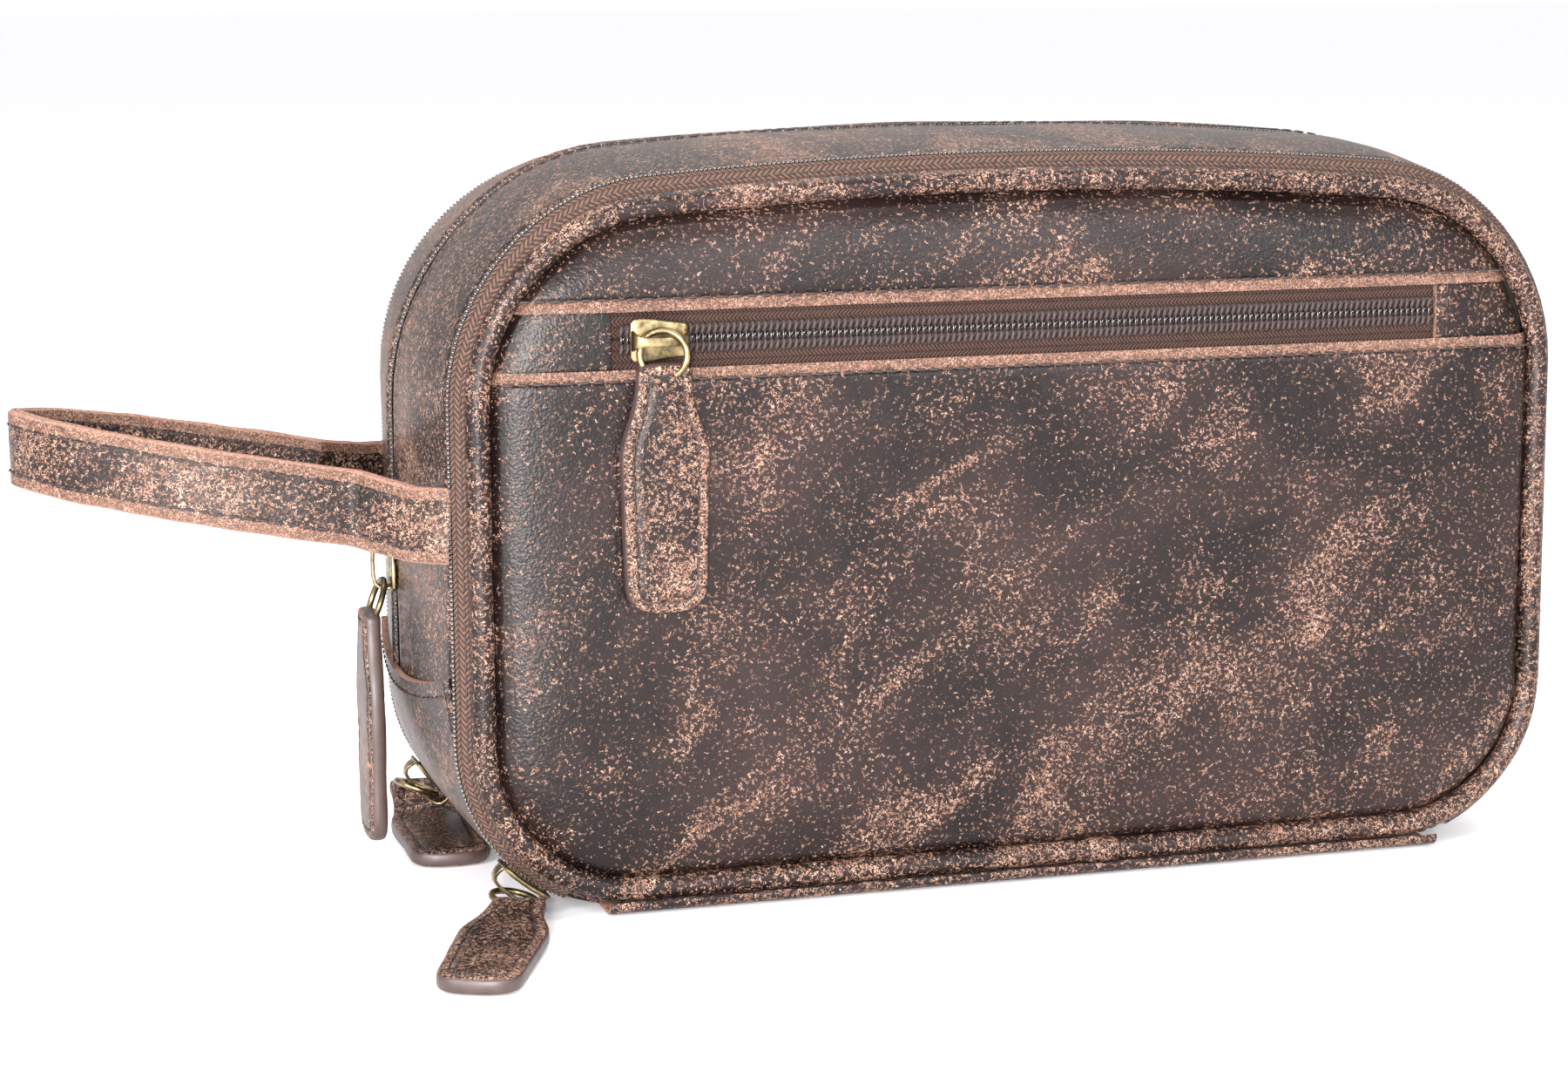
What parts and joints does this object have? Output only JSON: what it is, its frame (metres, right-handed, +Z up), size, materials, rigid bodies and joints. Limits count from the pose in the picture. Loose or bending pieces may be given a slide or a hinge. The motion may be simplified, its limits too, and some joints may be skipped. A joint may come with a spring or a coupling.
{
  "type": "shaving kit bag",
  "caption": "Leather wash bag with a zip over the top, zipped flaps on the front and back, a zipped front pocket and a wrist strap.",
  "frame": {"origin": "middle of the flat bottom that the bag stands on", "axes": "+X to the bag's right, -Y out of its front, +Z up"},
  "size_m": [0.3446, 0.1474, 0.164],
  "materials": {
    "leather": "dark brown oiled leather, crackled and rubbed to tan",
    "zip_tape": "brown woven herringbone polyester",
    "zip_coil": "dark brown nylon coil with a soft shine",
    "lining": "dark brown woven polyester",
    "board": "plain stiffening board",
    "antique_brass": "antique brass, rubbed bright on its edges"
  },
  "bodies": {
    "bag_front": {"front_gusset": "leather", "bottom_panel": "leather", "front_body_tape": "zip_tape", "front_body_coil": "zip_coil", "main_front_tape": "zip_tape", "main_front_coil": "zip_coil", "front_divider": "lining", "main_lining": "lining", "front_hinge_patch": "leather", "back_hinge_patch": "leather"},
    "front_flap": {"front_upper_panel": "leather", "front_lower_panel": "leather", "pocket_tab_left": "leather", "pocket_tab_right": "leather", "pocket_tape_upper": "zip_tape", "pocket_tape_lower": "zip_tape", "pocket_coil_upper": "zip_coil", "pocket_coil_lower": "zip_coil", "pocket_bag": "lining", "front_stiffener": "board", "front_flap_lining": "lining", "front_piping": "leather", "front_flap_tape": "zip_tape", "front_flap_coil": "zip_coil"},
    "bag_rear": {"rear_gusset": "leather", "back_body_tape": "zip_tape", "back_body_coil": "zip_coil", "main_rear_tape": "zip_tape", "main_rear_coil": "zip_coil", "rear_divider": "lining"},
    "back_flap": {"back_panel": "leather", "back_stiffener": "board", "back_flap_lining": "lining", "back_piping": "leather", "back_flap_tape": "zip_tape", "back_flap_coil": "zip_coil"},
    "strap": {"wrist_strap": "leather"},
    "pocket_slider_body": {"pocket_slider": "antique_brass"},
    "pocket_ring_body": {"pocket_ring": "antique_brass"},
    "pocket_pull_body": {"pocket_pull": "leather"},
    "main_slider_body": {"main_slider": "antique_brass"},
    "main_ring_body": {"main_ring": "antique_brass"},
    "main_pull_body": {"main_pull": "leather"},
    "front_slider_body": {"front_slider": "antique_brass"},
    "front_ring_body": {"front_ring": "antique_brass"},
    "front_pull_body": {"front_pull": "leather"},
    "back_slider_body": {"back_slider": "antique_brass"},
    "back_ring_body": {"back_ring": "antique_brass"},
    "back_pull_body": {"back_pull": "leather"}
  },
  "joints": [
    {"name": "mouth_open", "type": "hinge", "parent": "bag_front", "child": "bag_rear", "pos_m": [0, 0.0494, 0.0003], "axis": [-1, 0, 0], "range_deg": [0, 5]},
    {"name": "front_flap_open", "type": "hinge", "parent": "bag_front", "child": "front_flap", "pos_m": [0, -0.0494, 0.0003], "axis": [1, 0, 0], "range_deg": [0, 70]},
    {"name": "back_flap_open", "type": "hinge", "parent": "bag_rear", "child": "back_flap", "pos_m": [0, 0.0494, 0.0003], "axis": [-1, 0, 0], "range_deg": [0, 70]},
    {"name": "strap_flop", "type": "hinge", "parent": "bag_front", "child": "strap", "pos_m": [-0.14, 0, 0.085], "axis": [0, 1, 0], "range_deg": [-30, 45]},
    {"name": "pocket_slider_run", "type": "slide", "parent": "front_flap", "child": "pocket_slider_body", "axis": [1, 0, 0], "range_m": [0, 0.168]},
    {"name": "pocket_ring_swing", "type": "hinge", "parent": "pocket_slider_body", "child": "pocket_ring_body", "pos_m": [-0.084, -0.0533, 0.123], "axis": [-1, 0, 0], "range_deg": [0, 80]},
    {"name": "pocket_pull_swing", "type": "hinge", "parent": "pocket_ring_body", "child": "pocket_pull_body", "pos_m": [-0.084, -0.0533, 0.1153], "axis": [-1, 0, 0], "range_deg": [0, 55]},
    {"name": "main_slider_run", "type": "slide", "parent": "bag_front", "child": "main_slider_body", "axis": [0, 0, 1], "range_m": [0, 0.028]},
    {"name": "main_ring_swing", "type": "hinge", "parent": "main_slider_body", "child": "main_ring_body", "pos_m": [-0.13356, 0.006, 0.066], "axis": [0, 1, 0], "range_deg": [0, 60]},
    {"name": "main_pull_swing", "type": "hinge", "parent": "main_ring_body", "child": "main_pull_body", "pos_m": [-0.13698, 0.006, 0.0566], "axis": [0, 1, 0], "range_deg": [0, 80]},
    {"name": "front_slider_run", "type": "hinge", "parent": "bag_front", "child": "front_slider_body", "pos_m": [-0.089, -0.04, 0.038], "axis": [0, 1, 0], "range_deg": [0, 42]},
    {"name": "front_ring_swing", "type": "hinge", "parent": "front_slider_body", "child": "front_ring_body", "pos_m": [-0.11517, -0.04, 0.00451], "axis": [-0.788, 0, 0.6157], "range_deg": [0, 13]},
    {"name": "front_pull_swing", "type": "hinge", "parent": "front_ring_body", "child": "front_pull_body", "pos_m": [-0.1156, -0.04767, 0.00395], "axis": [-0.9292, 0.3697, 0], "range_deg": [0, 50]},
    {"name": "back_slider_run", "type": "hinge", "parent": "bag_rear", "child": "back_slider_body", "pos_m": [-0.089, 0.04, 0.038], "axis": [0, 1, 0], "range_deg": [0, 10]},
    {"name": "back_ring_swing", "type": "hinge", "parent": "back_slider_body", "child": "back_ring_body", "pos_m": [-0.12058, 0.04, 0.00956], "axis": [0.6691, 0, -0.7431], "range_deg": [0, 12]},
    {"name": "back_pull_swing", "type": "hinge", "parent": "back_ring_body", "child": "back_pull_body", "pos_m": [-0.12105, 0.04768, 0.00915], "axis": [0, 0, -1], "range_deg": [0, 90]}
  ]
}
